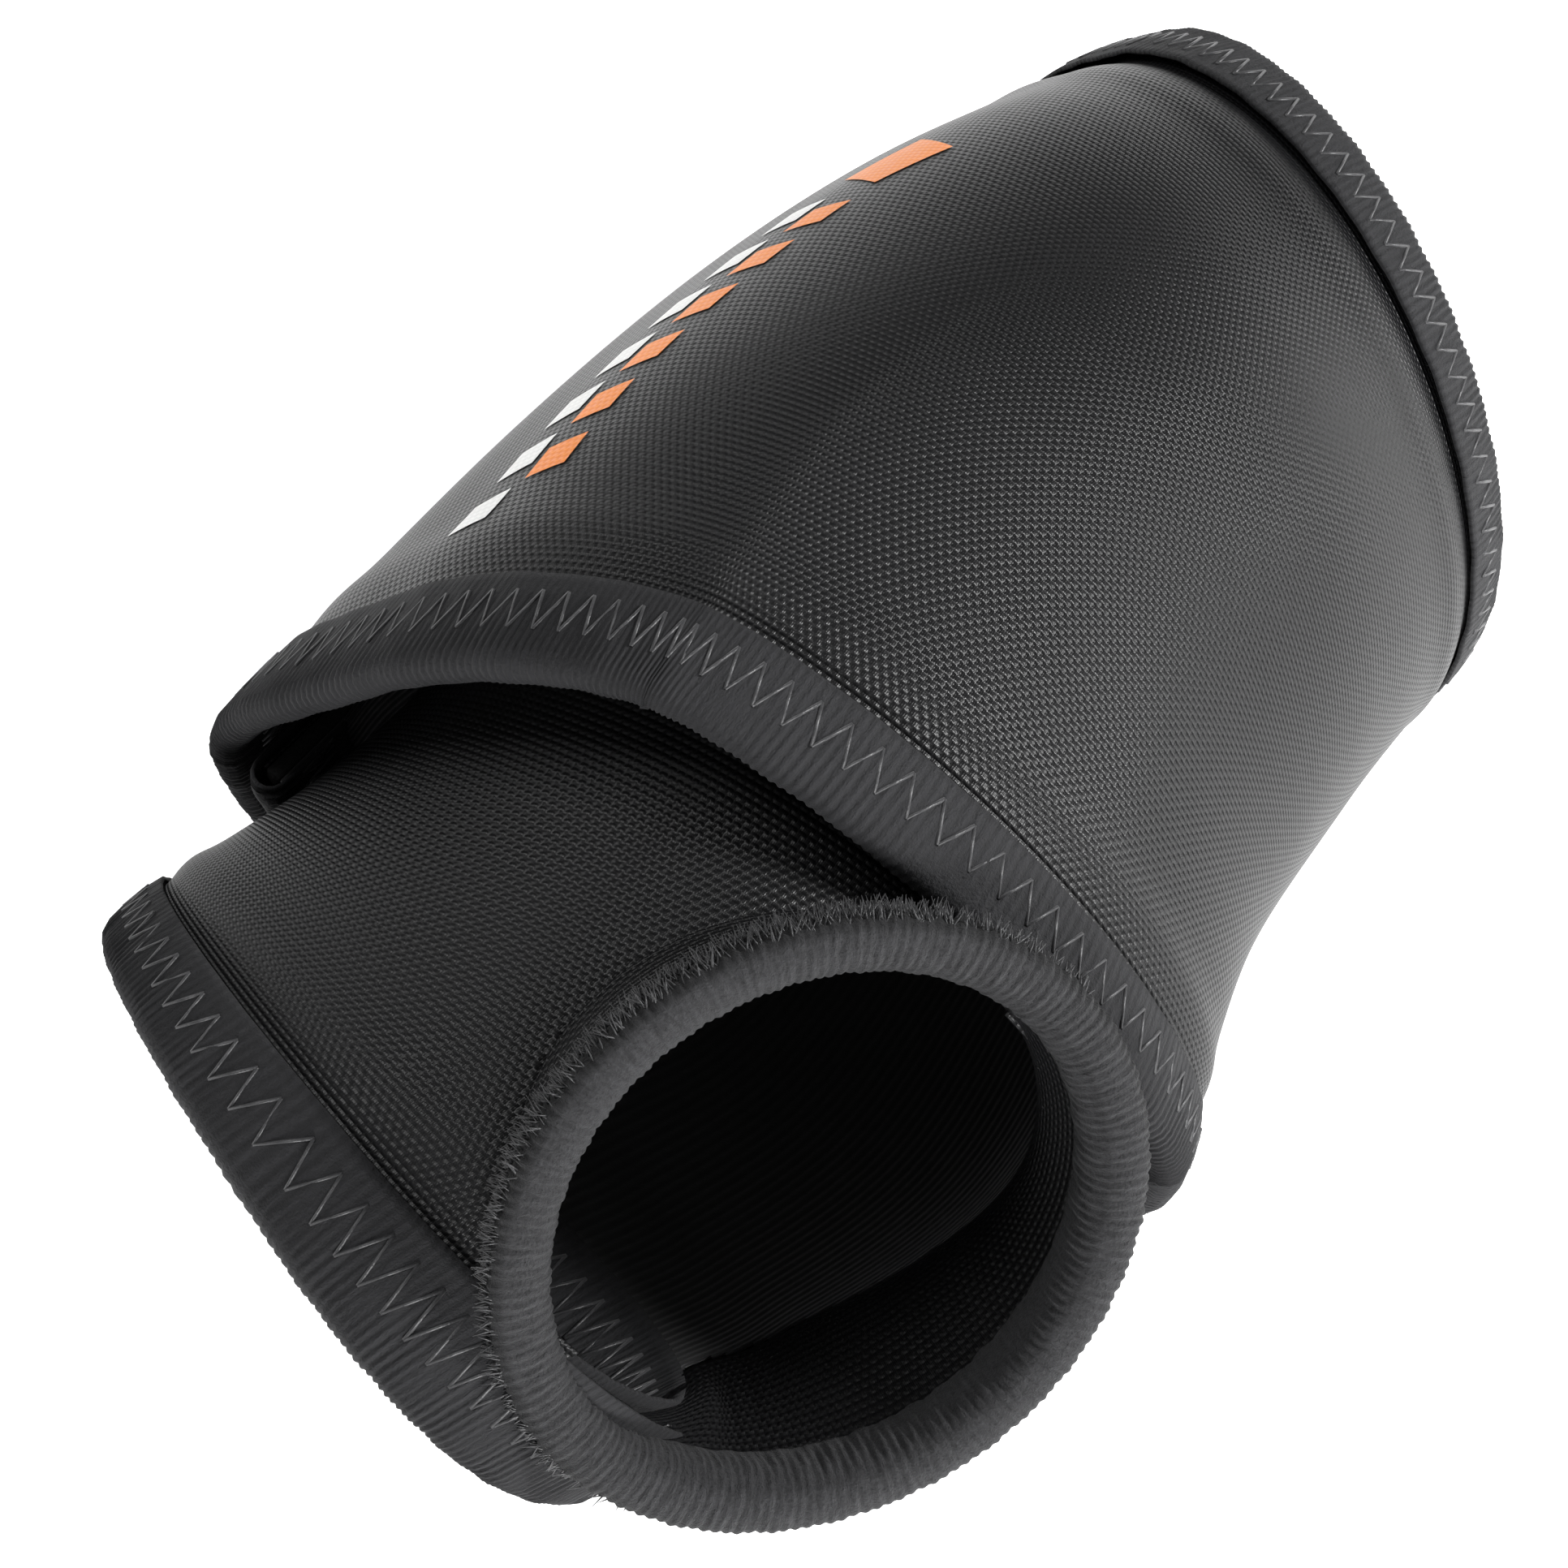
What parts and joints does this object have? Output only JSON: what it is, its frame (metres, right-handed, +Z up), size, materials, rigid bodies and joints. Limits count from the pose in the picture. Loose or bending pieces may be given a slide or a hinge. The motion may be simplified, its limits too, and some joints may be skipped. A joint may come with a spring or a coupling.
{
  "type": "elbow support sleeve",
  "caption": "Soft tubular elbow support with a collared elbow window and an outer wrap panel that closes with a hook-and-loop flap.",
  "frame": {"origin": "centre of the footprint on the surface that the support lies on", "axes": "+X along the arm towards the forearm opening, +Z up, the elbow window on the -Y shoulder at the upper-arm end"},
  "size_m": [0.2066, 0.1358, 0.1104],
  "materials": {
    "face_fabric": "black nylon knit with a satin sheen",
    "foam": "matt closed-cell neoprene",
    "lining_fabric": "matt black ribbed jersey",
    "binding": "ribbed elastic edge tape",
    "seam_tape": "matt tape",
    "fastener": "hook and loop pile",
    "orange_ink": "heat-transfer print",
    "white_ink": "heat-transfer print"
  },
  "bodies": {
    "sleeve": {"sleeve_foam_core": "foam", "sleeve_face_fabric": "face_fabric", "sleeve_lining": "lining_fabric", "sleeve_seam_tape": "seam_tape", "forearm_opening_binding": "binding", "upper_arm_opening_binding": "binding", "elbow_window_collar": "foam", "elbow_window_binding": "binding", "wrap_foam_core": "foam", "wrap_face_fabric": "face_fabric", "wrap_lining": "lining_fabric", "wrap_forearm_edge_binding": "binding", "wrap_elbow_edge_binding": "binding", "wrap_anchor_tape": "seam_tape", "loop_patch": "fastener", "orange_print": "orange_ink", "white_print": "white_ink"},
    "flap": {"flap_foam_core": "foam", "flap_face_fabric": "face_fabric", "flap_lining": "lining_fabric", "flap_binding": "binding", "hook_patch": "fastener", "pull_tab": "binding"}
  },
  "joints": [
    {"name": "flap_peel", "type": "hinge", "parent": "sleeve", "child": "flap", "pos_m": [0.02255, 0.06817, 0.05356], "axis": [0.9982, -0.0409, -0.0434], "range_deg": [0, 75]}
  ]
}
